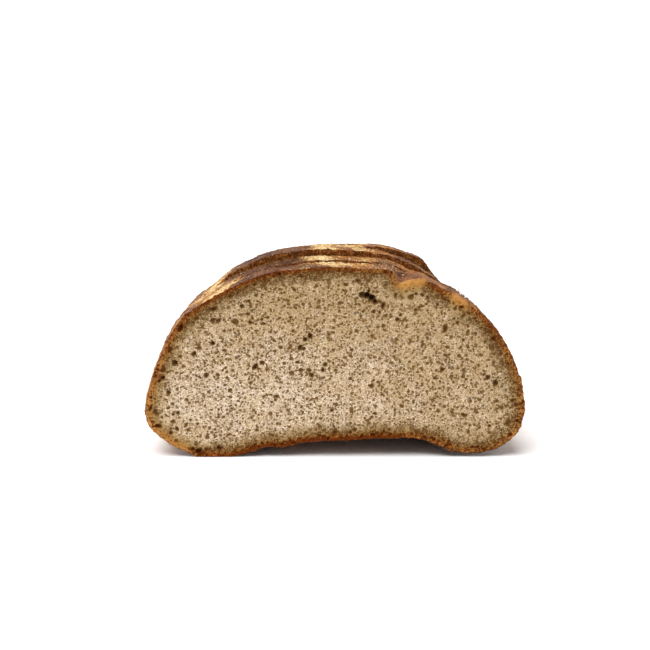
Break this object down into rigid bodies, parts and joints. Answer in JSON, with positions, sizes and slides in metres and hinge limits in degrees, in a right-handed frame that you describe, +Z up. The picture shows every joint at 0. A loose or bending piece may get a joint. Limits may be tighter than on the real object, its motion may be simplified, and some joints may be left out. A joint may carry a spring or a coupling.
{
  "type": "sliced bread loaf",
  "caption": "Half of a domed hearth-baked rye loaf, machine sliced, its slices standing together on the loaf's feet with one cut face open to the front.",
  "frame": {"origin": "middle of the loaf's box, on the surface that it stands on", "axes": "+X across the loaf, to the right as seen from the open cut face; +Y along the loaf, from the cut face to the heel; +Z up"},
  "size_m": [0.1638, 0.112, 0.0876],
  "materials": {
    "crumb": "matt, fine-pored grey-beige rye crumb with a browned crust round its edge",
    "crust": "dull, finely wrinkled red-brown crust dusted with flour"
  },
  "bodies": {
    "root": {"slice_1": "crumb", "slice_2": "crumb", "slice_3": "crumb", "slice_4": "crumb", "slice_5": "crumb", "slice_6": "crumb", "slice_7": "crumb", "slice_8": "crumb", "heel": "crust"}
  },
  "joints": []
}
